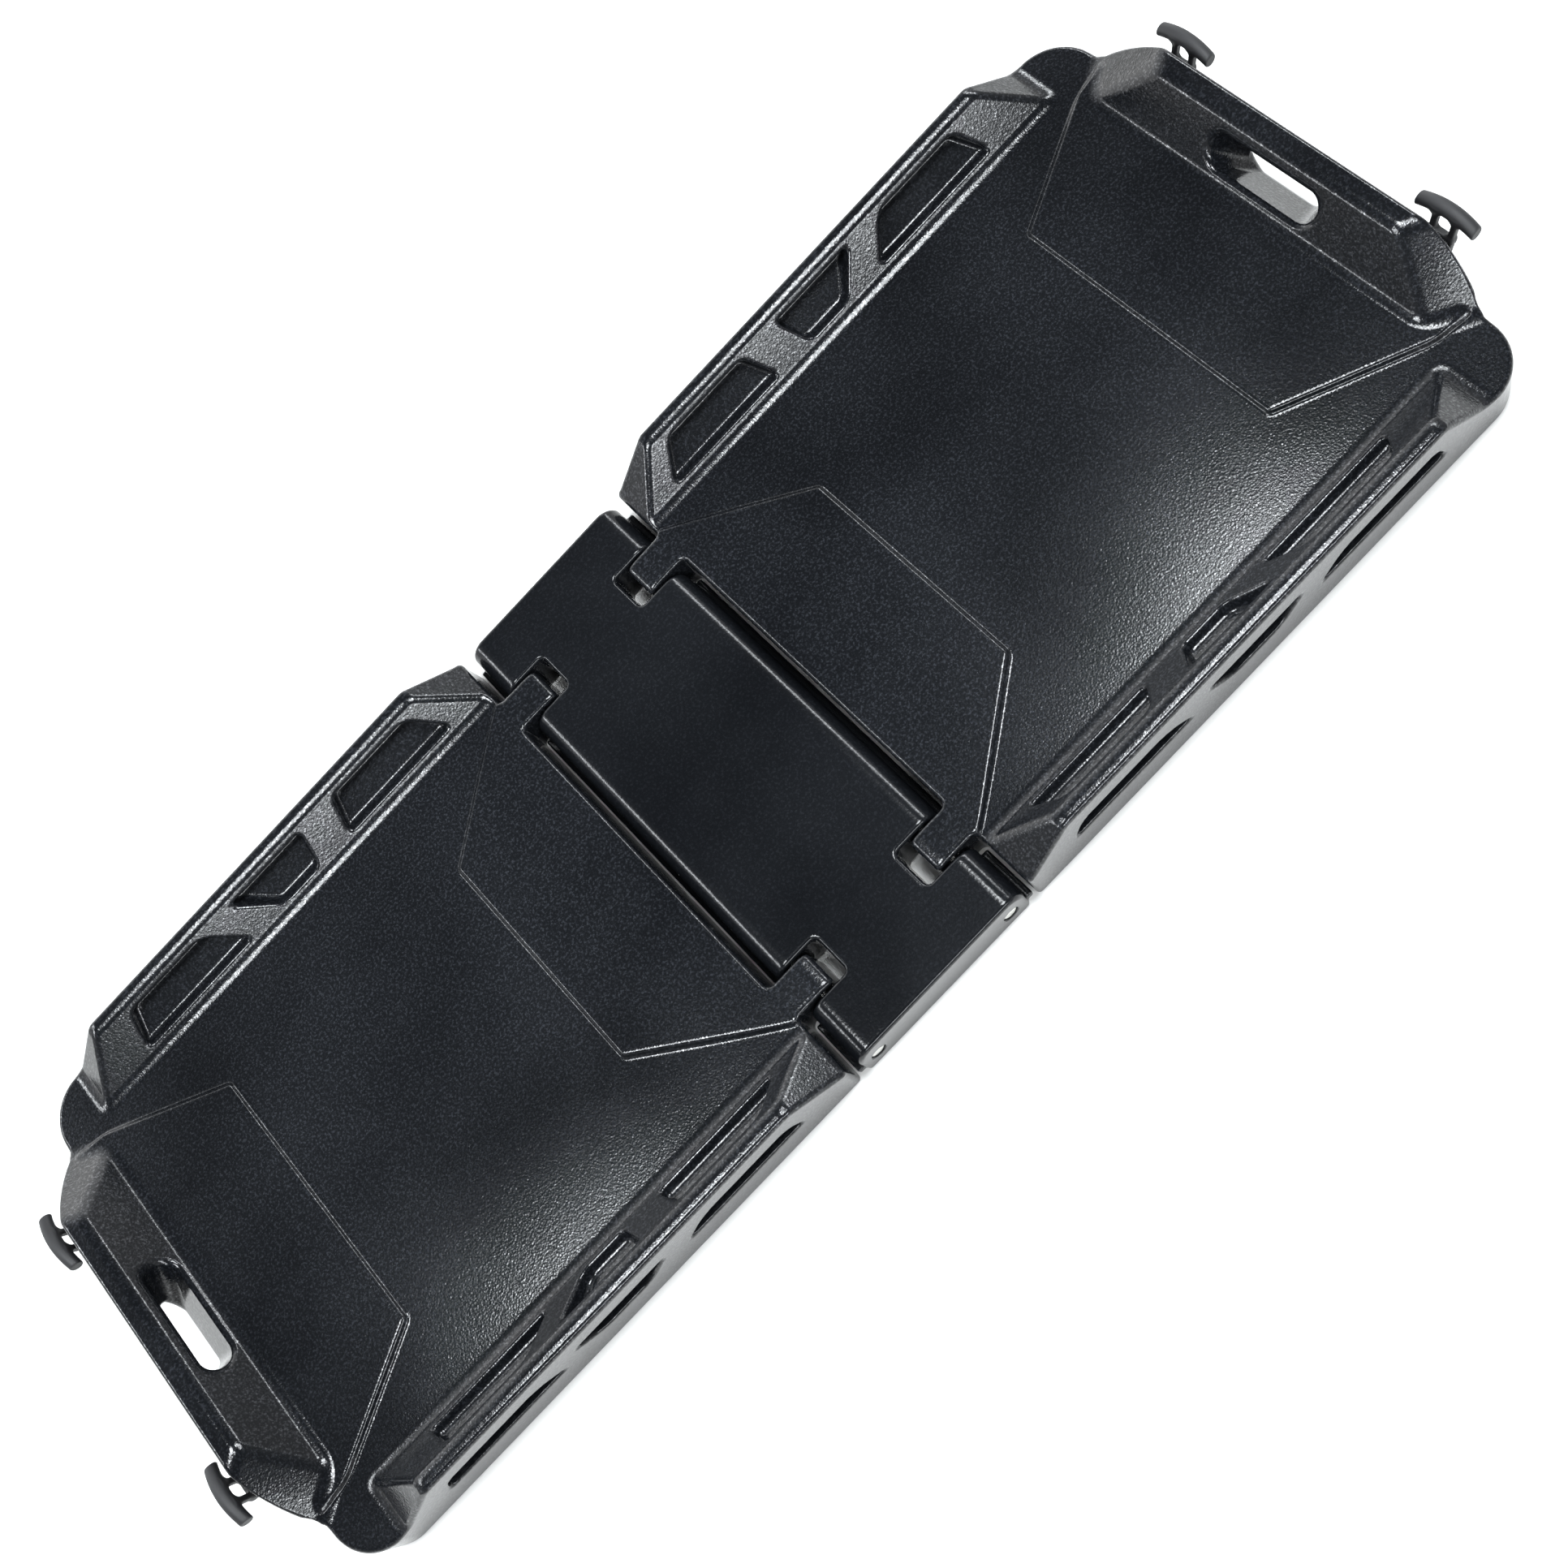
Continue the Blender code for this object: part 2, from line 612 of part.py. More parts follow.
def make_panel():
    """Every piece of panel A, as (object, material, is round, origin)."""
    hinge = (AXIS_X, 0.0, AXIS_Z)
    shell = make_shell()
    tread = make_tread()
    pieces = [(screw, "dark_steel", True, hinge) for screw in make_tread_screws(shell, tread)]
    for number, y0 in ((1, LATCH_Y), (2, -LATCH_Y)):
        pivot = (LATCH_PIVOT_X, y0, LATCH_PIVOT_Z)
        bracket = make_bracket("latch_bracket_a%d" % number, y0)
        for letter, side in (("p", 1), ("q", -1)):
            seat = (END_WALL_X + 2 * BRACKET_GAP + BRACKET_THICK, y0 + side * BRACKET_SCREW_Y, LATCH_PIVOT_Z)
            for target in (bracket, shell):
                hole = post("hole", 0, 0, -18, 9, 2.1)
                face_outward(hole, seat)
                cut(target, hole)
            screw = make_wall_screw("latch_screw_a%d%s" % (number, letter), seat)
            pieces.append((screw, "dark_steel", True, hinge))
        pieces.append((bracket, "dark_steel", False, hinge))
        pieces.append((make_pin("latch_pin_a%d" % number, y0), "steel", True, hinge))
        pieces.append((make_strap("latch_strap_a%d" % number, y0), "latch_rubber", True, pivot))
    pieces.append((shell, "board_plastic", True, hinge))
    pieces.append((tread, "tread_plastic", False, hinge))
    return pieces


def second_panel(pieces):
    """Panel B: the same pieces turned half a turn about Z."""
    half_turn = Matrix.Rotation(math.pi, 4, "Z")
    for item, slot, _, _ in pieces:
        name = item.name.replace("panel_a", "panel_b").replace("_a1", "_b1").replace("_a2", "_b2")
        twin = bpy.data.objects.new(name, item.data.copy())
        twin.data.transform(half_turn)
        twin.location = half_turn @ item.location
        bpy.context.scene.collection.objects.link(twin)
        twin.data.materials.clear()
        twin.data.materials.append(material(slot, name))


def main():
    clear_scene()
    make_spine()
    make_rods()
    pieces = make_panel()
    for item, slot, round_piece, origin in pieces:
        finish(item, slot, round_piece)
        put_origin(item, origin)
    second_panel(pieces)


main()
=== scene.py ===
"""Looks of the folding tyre traction board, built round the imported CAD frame.

The mouldings are solids written as distance fields in millimetres. Each field is meshed on a
fine grid, its points are moved onto the exact surface, and its normals are the field's own.
"""

import math

import bpy
import numpy as np
from mathutils import Matrix, Vector


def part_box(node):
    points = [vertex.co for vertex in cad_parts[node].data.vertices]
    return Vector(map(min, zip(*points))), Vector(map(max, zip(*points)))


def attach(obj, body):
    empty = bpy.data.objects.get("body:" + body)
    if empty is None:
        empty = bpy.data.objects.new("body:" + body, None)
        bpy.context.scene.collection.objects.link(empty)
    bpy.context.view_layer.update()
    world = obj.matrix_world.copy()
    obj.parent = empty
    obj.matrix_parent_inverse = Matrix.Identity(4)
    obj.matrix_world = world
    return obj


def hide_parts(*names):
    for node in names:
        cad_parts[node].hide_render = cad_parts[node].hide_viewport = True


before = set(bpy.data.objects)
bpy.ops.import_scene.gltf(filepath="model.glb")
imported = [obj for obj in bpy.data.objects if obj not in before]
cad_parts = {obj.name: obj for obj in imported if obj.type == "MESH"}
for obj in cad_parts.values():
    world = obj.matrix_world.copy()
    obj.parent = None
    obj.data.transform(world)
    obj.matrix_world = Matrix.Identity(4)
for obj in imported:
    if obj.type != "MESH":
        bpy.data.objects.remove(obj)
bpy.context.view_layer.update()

MM = 0.001
# mesh grid sizes
BOARD_STEP = 1.5
STRAP_STEP = 0.7
SCREW_STEP = 0.4

# Hinges and spine
AXIS_X, AXIS_Z = 73.0, 20.0
SPINE_END_X = 90.0
LIP_END_X = 96.5  # low lip that closes the gap under each panel edge
HALF_WIDTH = 250.0
SPINE_TOP = 45.0
NOTCH_END_X = 44.5
KNUCKLE_MID_Y = 175.25
NOTCH_HALF = 18.75
KNUCKLE_HALF = 16.25
KNUCKLE_END_X = 58.0
KNUCKLE_RADIUS = 27.0
CAP_SEAT_Y = 246.5

# Panel
HINGE_EDGE_X = 99.0
FIELD_Z = 43.0
PLATEAU_Z = 47.4
LOBE_X, LOBE_Y, LOBE_RADIUS = 597.0, 207.0, 43.0
END_WALL_X = 650.0
BAR_OUTER_X = 655.5
BAR_TOP_Z = 92.0
RIB_TOP_Z = 82.0
RIB_FOOT_Z = 44.0
RIB_BASE_Y, RIB_TOP_Y = 203.0, 238.0
# each recess along X: low edge start and end, high edge start and end
POCKETS = ((391, 523, 419, 507), (306, 351, 294, 382), (140, 267, 164, 253))
SLOTS = ((410, 543, 434, 533), (318, 368, 292, 394), (148, 276, 160, 250))
POCKET_DEPTH = 14.0
POCKET_LEAN = 0.28  # pocket floors run deeper towards the outside
SLOT_DEPTH = 12.0
SLOT_LOW_Z, SLOT_HIGH_Z = 36.0, 56.0
HANDLE_X, HANDLE_Z = 620.0, 67.5
HANDLE_FLAT, HANDLE_RADIUS = 42.3, 14.7
HANDLE_SLOPE = math.atan2(52.0, 40.0)
# plateau outlines on the side of positive y; they run past y = 0 so that both halves join
SPINE_PLATEAU = ((40, -200), (220, -200), (220, 122), (112, 189.5), (103, 196), (40, 196))
END_PLATEAU = ((485, -200), (645, -200), (645, 160), (635, 192), (603, 188), (485, 131))
BORE_RADIUS = 5.6

# Latches
LATCH_Y = 132.0
PIVOT_X, PIVOT_Z = 662.0, 22.0
BAR_X, BAR_Z = 678.0, 70.0

# Screw head heights
COVER_HEAD, WALL_HEAD = 2.1, 2.2


# ---- distance fields ----

def both(a, b, r):
    """Inside a and b, the edge between them rounded."""
    return np.minimum(np.maximum(a, b), -r) + np.sqrt(np.maximum(a + r, 0) ** 2 + np.maximum(b + r, 0) ** 2)


def either(a, b, r):
    """Inside a or b, the corner between them filleted."""
    return -both(-a, -b, r)


def less(a, b, r):
    """Inside a but not b, the rim rounded."""
    return both(a, -b, r)


def plane(points, inside, x, y, z):
    """Distance to the plane through three points, positive on the side away from `inside`."""
    p, q, s = (Vector(v) for v in points)
    normal = (q - p).cross(s - p).normalized()
    if normal.dot(Vector(inside) - p) > 0:
        normal = -normal
    return (x - p.x) * normal.x + (y - p.y) * normal.y + (z - p.z) * normal.z


def polygon(corners, x, y, r=4.0):
    """Distance to a convex outline whose corners go round anticlockwise."""
    result = None
    count = len(corners)
    for i in range(count):
        ax, ay = corners[i]
        bx, by = corners[(i + 1) % count]
        length = math.hypot(bx - ax, by - ay)
        side = ((x - ax) * (by - ay) - (y - ay) * (bx - ax)) / length
        result = side if result is None else both(result, side, r)
    return result


def recess(spec, low, high, x, t, n, depth, floor_lean=0.0):
    """Tapered four-sided recess: x along it, t across it, n out of the face it is sunk in."""
    low_a, low_b, high_a, high_b = spec
    lean_a = (high_a - low_a) / (high - low)
    lean_b = (high_b - low_b) / (high - low)
    start = (low_a + lean_a * (t - low) - x) / math.hypot(1, lean_a)
    end = (x - low_b - lean_b * (t - low)) / math.hypot(1, lean_b)
    outline = both(both(start, low - t, 6.0), both(end, t - high, 6.0), 6.0)
    return both(outline - n * 0.1, -n - depth - (t - (low + high) / 2) * floor_lean, 3.5)


def ribs(x, v, z):
    """Side rib: inward slope, a ramp at the spine end and a tail at the far end."""
    slope = plane(((0, RIB_BASE_Y, RIB_FOOT_Z), (1, RIB_BASE_Y, RIB_FOOT_Z), (0, RIB_TOP_Y, RIB_TOP_Z)),
                  (0, 250, 0), x, v, z)
    ramp = plane(((99, 0, RIB_FOOT_Z), (99, 1, RIB_FOOT_Z), (147, 0, RIB_TOP_Z)), (300, 0, 0), x, v, z)
    tail = plane(((588, 0, RIB_FOOT_Z), (588, 1, RIB_FOOT_Z), (541, 0, RIB_TOP_Z)), (300, 0, 0), x, v, z)
    return both(both(both(slope, ramp, 4.0), tail, 4.0), z - RIB_TOP_Z, 4.0)


def end_block(x, v, z):
    """Raised end with the handle face and its two chamfered corners."""
    inside = (640, 0, 40)
    top_corner = (636, 122, BAR_TOP_Z)
    slope = plane(((605, 0, 46), (605, 1, 46), top_corner), inside, x, v, z)
    corner = plane(((605, 178, 46), (612, 188, 44), top_corner), inside, x, v, z)
    side = plane((top_corner, (655.5, 132, BAR_TOP_Z), (626, 190, 43.5)), inside, x, v, z)
    return both(both(both(slope, corner, 5.0), side, 5.0), z - BAR_TOP_Z, 5.0)


def raised(corners, x, v, z, width):
    """Low plateau whose sides slope over `width`."""
    height = PLATEAU_Z - FIELD_Z
    side = (polygon(corners, x, v) * height + (z - FIELD_Z) * width) / math.hypot(height, width)
    return both(side, z - PLATEAU_Z, 1.6)


def panel_solid(x, y, z):
    v = np.abs(y)
    lobe_x, lobe_y = x - LOBE_X, v - LOBE_Y
    plan = np.sqrt(np.maximum(lobe_x, 0) ** 2 + np.maximum(lobe_y, 0) ** 2)
    plan = plan + np.minimum(np.maximum(lobe_x, lobe_y), 0) - LOBE_RADIUS
    wall = x - END_WALL_X - (BAR_OUTER_X - END_WALL_X) * np.clip((z - 36) / 16, 0, 1)
    bulge = both(wall, (wall * 28 + (v - 162) * 10) / 29.7, 8.0)
    plan = either(plan, np.maximum(bulge, v - 196), 5.0)
    knuckle = both(KNUCKLE_END_X - x, np.abs(v - KNUCKLE_MID_Y) - KNUCKLE_HALF, 4.0)
    plan = either(both(plan, HINGE_EDGE_X - x, 4.0), np.maximum(knuckle, x - 130), 6.0)

    top = either(z - FIELD_Z, ribs(x, v, z), 5.0)
    top = either(top, raised(SPINE_PLATEAU, x, v, z, 2.6), 1.6)
    top = either(top, raised(END_PLATEAU, x, v, z, 2.8), 1.6)
    top = either(top, end_block(x, v, z), 5.0)

    body = both(plan, top, 4.5)
    roll = np.sqrt(np.minimum(x - AXIS_X, 0) ** 2 + (z - AXIS_Z) ** 2) - KNUCKLE_RADIUS
    body = both(body, roll - np.maximum(0, x - HINGE_EDGE_X) * 3, 3.0)
    body = both(body, -z, 2.0)

    slope = Vector((RIB_TOP_Y - RIB_BASE_Y, RIB_TOP_Z - RIB_FOOT_Z))
    length = slope.length
    slope.normalize()
    across = (v - RIB_BASE_Y) * slope.x + (z - RIB_FOOT_Z) * slope.y
    out = (z - RIB_FOOT_Z) * slope.x - (v - RIB_BASE_Y) * slope.y
    for spec in POCKETS:
        body = less(body, recess(spec, 9.0, length - 10, x, across, out, POCKET_DEPTH, POCKET_LEAN), 3.0)
    for spec in SLOTS:
        body = less(body, recess(spec, SLOT_LOW_Z, SLOT_HIGH_Z, x, z, v - HALF_WIDTH, SLOT_DEPTH), 2.5)

    tilt = (x - HANDLE_X) * math.sin(HANDLE_SLOPE) + (z - HANDLE_Z) * math.cos(HANDLE_SLOPE)
    depth = (x - HANDLE_X) * math.cos(HANDLE_SLOPE) - (z - HANDLE_Z) * math.sin(HANDLE_SLOPE)
    narrowing = np.clip(depth + 5, 0, 60)
    flat = HANDLE_FLAT - 0.3 * narrowing
    hole = np.sqrt(np.maximum(v - flat, 0) ** 2 + tilt ** 2) - HANDLE_RADIUS + 0.12 * narrowing
    body = less(body, hole, 5.0)
    bore = np.sqrt((x - AXIS_X) ** 2 + (z - AXIS_Z) ** 2) - BORE_RADIUS
    body = less(body, bore, 0.8)
    rebate = np.maximum(np.maximum(112 - x, x - 608), np.maximum(v - 195.5, z - 12))
    return less(body, rebate, 1.2)


def spine_solid(x, y, z):
    u, v = np.abs(x), np.abs(y)
    body = both(u - SPINE_END_X, z - SPINE_TOP, 18.0)
    body = both(body, v - HALF_WIDTH, 4.0)
    notch = both(NOTCH_END_X - u, np.abs(v - KNUCKLE_MID_Y) - NOTCH_HALF, 5.0)
    body = less(body, notch, 3.5)
    body = both(body, -z, 2.0)
    lip_ends = np.minimum(v - 153.0, np.abs(v - 222.0) - 25.0)
    lip = both(both(u - LIP_END_X, np.abs(z - 7.0) - 4.0, 1.5), lip_ends, 1.5)
    body = either(body, lip, 1.5)
    axis = np.sqrt((u - AXIS_X) ** 2 + (z - AXIS_Z) ** 2)
    body = less(body, axis - 5.5, 0.8)
    body = less(body, np.maximum(axis - 7.0, CAP_SEAT_Y - v), 1.0)
    rebate = np.maximum(np.maximum(u - 42, v - 235.3), z - 5.3)
    return less(body, rebate, 1.0)


def strap_solid(x, y, z):
    """Rubber strap about its pivot at the origin: eye, body, two legs and the cross bar."""
    v = np.abs(y)
    lean_x, lean_z = BAR_X - PIVOT_X, BAR_Z - PIVOT_Z
    reach = math.hypot(lean_x, lean_z)
    up = (x * lean_x + z * lean_z) / reach
    side = (x * lean_z - z * lean_x) / reach
    thick = 3.5 + np.clip((12 - up) / 12, 0, 1)
    body = both(both(np.abs(side) - thick, v - 12, 2.0), np.abs(up - 16) - 15.5, 2.0)
    grip = both(np.abs(np.abs(side) - 3.6) - 0.9, np.abs(np.mod(up, 5.0) - 2.5) - 1.0, 0.6)
    body = either(body, np.maximum(grip, np.maximum(v - 9, np.abs(up - 20) - 7.6)), 0.8)
    legs = both(np.abs(side) - 3.1, np.abs(v - 8.9) - 2.7, 1.6)
    body = either(body, np.maximum(legs, np.abs(up - 38) - 10), 3.0)
    axle = np.sqrt(up ** 2 + side ** 2)
    body = either(body, both(axle - 6.2, v - 13.6, 1.2), 2.0)
    bow = reach + 1.4 - 5.0 * (v / 27.5) ** 2
    bar = both(np.sqrt((up - bow) ** 2 + side ** 2) - 6.2 + 0.5 * (v / 27.5) ** 2, v - 27.3, 1.4)
    return less(either(body, bar, 5.0), axle - 2.8, 0.5)


def screw_solid(head_radius, head_height, shank_radius, shank_length):
    """Pan head screw pointing up, its seat at z = 0, with a six-sided socket."""
    def solid(x, y, z):
        radial = np.sqrt(x ** 2 + y ** 2)
        head = both(radial - head_radius, np.maximum(z - head_height, -z), 1.1)
        shank = both(radial - shank_radius, np.abs(z + shank_length / 2) - shank_length / 2 - 0.4, 0.5)
        sides = [np.abs(x * math.cos(a) + y * math.sin(a)) for a in (0.0, math.tau / 6, math.tau / 3)]
        socket = np.maximum(np.maximum.reduce(sides) - head_radius * 0.42, head_height * 0.35 - z)
        return less(np.minimum(head, shank), socket, 0.25)
    return solid


# ---- meshing ----

CORNERS = [(i, j, k) for i in (0, 1) for j in (0, 1) for k in (0, 1)]
CELL_EDGES = [(a, b) for a in range(8) for b in range(a + 1, 8)
              if sum(abs(p - q) for p, q in zip(CORNERS[a], CORNERS[b])) == 1]
BLOCK = 8


def sample(solid, low, step, shape):
    """The field at every grid point; points far from the surface keep their block's value."""
    blocks = [math.ceil(n / BLOCK) for n in shape]
    middle = [low[i] + (np.arange(blocks[i], dtype=np.float32) * BLOCK + (BLOCK - 1) / 2) * step
              for i in range(3)]
    values = solid(*np.meshgrid(*middle, indexing="ij"))
    for axis in range(3):
        values = np.repeat(values, BLOCK, axis=axis)
    values = np.ascontiguousarray(values[: shape[0], : shape[1], : shape[2]])
    near = np.abs(values) < BLOCK * step * 1.5
    found = np.nonzero(near)
    places = [(low[i] + found[i] * step).astype(np.float32) for i in range(3)]
    values[near] = solid(*places)
    return values


def gradient(solid, points, reach):
    result = np.empty_like(points)
    for axis in range(3):
        shift = np.zeros(3, dtype=points.dtype)
        shift[axis] = reach
        ahead, behind = points + shift, points - shift
        result[:, axis] = (solid(*ahead.T) - solid(*behind.T)) / (2 * reach)
    return result


def mesh_of(solid, name, low, high, step):
    """Mesh of the solid between two corners, its points on the surface and normals from the field."""
    low = np.array(low, dtype=np.float64) - 2.37 * step
    shape = [int(math.ceil((high[i] + 2.4 * step - low[i]) / step)) + 1 for i in range(3)]
    values = sample(solid, low, step, shape)
    inside = values < 0
    nx, ny, nz = (n - 1 for n in shape)
    count = np.zeros((nx, ny, nz), dtype=np.uint8)
    for i, j, k in CORNERS:
        count += inside[i:i + nx, j:j + ny, k:k + nz]
    cells = np.nonzero((count > 0) & (count < 8))
    number = np.full((nx, ny, nz), -1, dtype=np.int32)
    number[cells] = np.arange(len(cells[0]), dtype=np.int32)
    corner_values = [values[cells[0] + i, cells[1] + j, cells[2] + k] for i, j, k in CORNERS]
    total = np.zeros((len(cells[0]), 3))
    crossings = np.zeros(len(cells[0]))
    for a, b in CELL_EDGES:
        first, second = corner_values[a], corner_values[b]
        crosses = (first < 0) != (second < 0)
        part = np.where(crosses, first / np.where(crosses, first - second, 1), 0)[:, None]
        place = np.array(CORNERS[a]) * (1 - part) + np.array(CORNERS[b]) * part
        total += place * crosses[:, None]
        crossings += crosses
    points = (total / crossings[:, None] + np.stack(cells, axis=1)) * step + low
    for _ in range(3):
        slope = gradient(solid, points, 0.05)
        size = np.maximum((slope ** 2).sum(axis=1), 0.25)
        move = -slope * (solid(*points.T) / size)[:, None]
        length = np.sqrt((move ** 2).sum(axis=1))
        move *= np.minimum(1, 0.35 * step / np.maximum(length, 1e-9))[:, None]
        points += move
    normals = gradient(solid, points, 0.3)
    normals /= np.maximum(np.sqrt((normals ** 2).sum(axis=1)), 1e-9)[:, None]

    quads = []
    for axis in range(3):
        one, two = (axis + 1) % 3, (axis + 2) % 3
        near_end = [slice(None)] * 3
        far_end = [slice(None)] * 3
        near_end[axis], far_end[axis] = slice(0, -1), slice(1, None)
        starts, ends = inside[tuple(near_end)], inside[tuple(far_end)]
        where = np.stack(np.nonzero(starts != ends), axis=1)
        where = where[(where[:, one] > 0) & (where[:, two] > 0)]
        limit = np.array([nx, ny, nz])
        where = where[(where[:, one] < limit[one]) & (where[:, two] < limit[two])]
        outward = starts[tuple(where.T)]
        ring = []
        for back_one, back_two in ((1, 1), (0, 1), (0, 0), (1, 0)):
            cell = where.copy()
            cell[:, one] -= back_one
            cell[:, two] -= back_two
            ring.append(number[tuple(cell.T)])
        ring = np.stack(ring, axis=1)
        ring[~outward] = ring[~outward][:, ::-1]
        quads.append(ring)
    quads = np.concatenate(quads)

    mesh = bpy.data.meshes.new(name)
    mesh.vertices.add(len(points))
    mesh.vertices.foreach_set("co", (points * MM).astype(np.float32).ravel())
    mesh.loops.add(len(quads) * 4)
    mesh.loops.foreach_set("vertex_index", quads.ravel().astype(np.int32))
    mesh.polygons.add(len(quads))
    mesh.polygons.foreach_set("loop_start", (np.arange(len(quads)) * 4).astype(np.int32))
    mesh.update(calc_edges=True)
    mesh.validate()
    mesh.polygons.foreach_set("use_smooth", np.ones(len(quads), dtype=bool))
    mesh.normals_split_custom_set_from_vertices(normals)
    return mesh


def place(mesh, name, where=None):
    item = bpy.data.objects.new(name, mesh)
    bpy.context.scene.collection.objects.link(item)
    if where is not None:
        item.matrix_world = where
    return item


# ---- materials ----

class Nodes:
    """Short way to build one material's node tree."""

    def __init__(self, name):
        self.material = bpy.data.materials.new(name)
        self.material.use_nodes = True
        self.tree = self.material.node_tree
        self.shader = self.tree.nodes["Principled BSDF"]
        self.where = self.tree.nodes.new("ShaderNodeTexCoord").outputs["Object"]

    def add(self, kind, inputs=None, **settings):
        node = self.tree.nodes.new(kind)
        for key, value in settings.items():
            setattr(node, key, value)
        for key, value in (inputs or {}).items():
            self.put(node.inputs[key], value)
        return node

    def put(self, socket, value):
        if isinstance(value, bpy.types.NodeSocket):
            self.tree.links.new(value, socket)
        else:
            socket.default_value = value

    def noise(self, scale, detail=2.0, roughness=0.5):
        made = self.add("ShaderNodeTexNoise", {"Vector": self.where, "Scale": scale, "Detail": detail,
                                               "Roughness": roughness})
        return made.outputs["Fac"]

    def cells(self, scale, smooth=0.4):
        made = self.add("ShaderNodeTexVoronoi", {"Vector": self.where, "Scale": scale, "Smoothness": smooth},
                        feature="SMOOTH_F1")
        return made.outputs["Distance"]

    def spread(self, value, low, high, out_low, out_high):
        made = self.add("ShaderNodeMapRange", {"Value": value, "From Min": low, "From Max": high,
                                               "To Min": out_low, "To Max": out_high})
        return made.outputs["Result"]

    def math(self, operation, a, b):
        return self.add("ShaderNodeMath", {0: a, 1: b}, operation=operation).outputs[0]

    def mix(self, amount, first, second):
        made = self.add("ShaderNodeMix", data_type="RGBA")
        self.put(made.inputs[0], amount)
        self.put(made.inputs[6], first)
        self.put(made.inputs[7], second)
        return made.outputs[2]

    def edge_wear_and_highlight(self, low, high):
        """1 on outer edges in patches, 0 elsewhere: painted edge highlights on the board plastics, rubbed
        edges on the other looks.
        """
        edge = self.add("ShaderNodeNewGeometry").outputs["Pointiness"]
        patches = self.spread(self.noise(60), 0.35, 0.7, 0, 1)
        return self.math("MULTIPLY", self.spread(edge, low, high, 0, 1), patches)

    def bump(self, height, strength, distance):
        made = self.add("ShaderNodeBump", {"Height": height, "Strength": strength, "Distance": distance})
        self.put(self.shader.inputs["Normal"], made.outputs["Normal"])

    def finish(self, colour, roughness, **uniform):
        self.put(self.shader.inputs["Base Color"], colour)
        self.put(self.shader.inputs["Roughness"], roughness)
        for key, value in uniform.items():
            self.shader.inputs[key.replace("_", " ")].default_value = value
        return self.material


def board_plastic(name, grain_scale, grain_depth, sparkle):
    """Near-black moulded plastic: pebbled grain whose tops catch the light, with painted glints on the grain
    tops and painted highlights along the outer edges.
    """
    n = Nodes(name)
    dark = (0.0030, 0.0034, 0.0042, 1)
    lighter = (0.0060, 0.0067, 0.0080, 1)
    # painted glint colour for the grain tops
    painted_glint = (0.032, 0.035, 0.042, 1)
    # painted highlight colour for the outer edges
    edge_wear_and_highlight_tone = (0.085, 0.088, 0.094, 1)
    fine = n.noise(grain_scale, 2.5, 0.65)
    pebbles = n.cells(grain_scale * 1.3, 0.35)
    cloud = n.noise(7.0, 4.0)
    n.bump(n.math("ADD", n.math("MULTIPLY", pebbles, 0.6), fine), 1.0, grain_depth)
    tops = n.spread(n.math("SUBTRACT", fine, n.math("MULTIPLY", pebbles, 0.25)), 0.30, 0.55, 0, 1)
    tops = n.math("MULTIPLY", n.math("POWER", tops, 2.0), sparkle)
    colour = n.mix(n.spread(cloud, 0.35, 0.7, 0, 0.8), dark, lighter)
    # Painted glints: grain tops get a lighter colour to stand for sparkle; the same tops also get a higher
    # Specular IOR Level below.
    colour = n.mix(n.math("MULTIPLY", tops, n.spread(cloud, 0.35, 0.65, 0.25, 0.6)), colour, painted_glint)
    # Painted edge highlights: outer edges are lightened in patches to stand for bright rim reflections.
    colour = n.mix(n.math("MULTIPLY", n.edge_wear_and_highlight(0.53, 0.62), 0.5), colour, edge_wear_and_highlight_tone)
    rough = n.spread(cloud, 0.3, 0.7, 0.14, 0.18)
    rough = n.math("SUBTRACT", rough, n.math("MULTIPLY", tops, 0.05))
    n.put(n.shader.inputs["Specular IOR Level"], n.spread(tops, 0, 1, 0.3, 0.8))
    return n.finish(colour, rough, IOR=1.5)


def plain_plastic(name):
    """Ground-side mouldings: plainer, duller, scuffed where they meet the ground."""
    n = Nodes(name)
    n.bump(n.noise(900, 3.0), 0.4, 0.00012)
    scuff = n.spread(n.add("ShaderNodeTexNoise", {"Vector": n.where, "Scale": 35.0, "Detail": 8.0,
                                                  "Distortion": 1.5}).outputs["Fac"], 0.5, 0.72, 0, 1)
    colour = n.mix(n.math("MULTIPLY", scuff, 0.5), (0.008, 0.008, 0.009, 1), (0.03, 0.03, 0.031, 1))
    colour = n.mix(n.math("MULTIPLY", n.edge_wear_and_highlight(0.52, 0.6), 0.4), colour, (0.05, 0.05, 0.052, 1))
    return n.finish(colour, n.spread(scuff, 0, 1, 0.42, 0.66), IOR=1.5)


def rubber(name):
    """Matt rubber with a faint grey bloom."""
    n = Nodes(name)
    n.bump(n.noise(1500, 3.0), 0.35, 0.00008)
    bloom = n.spread(n.noise(45, 5.0), 0.4, 0.75, 0, 1)
    colour = n.mix(n.math("MULTIPLY", bloom, 0.5), (0.006, 0.006, 0.007, 1), (0.018, 0.018, 0.02, 1))
    colour = n.mix(n.math("MULTIPLY", n.edge_wear_and_highlight(0.52, 0.6), 0.3), colour, (0.04, 0.04, 0.042, 1))
    return n.finish(colour, n.spread(bloom, 0, 1, 0.5, 0.68), IOR=1.5)


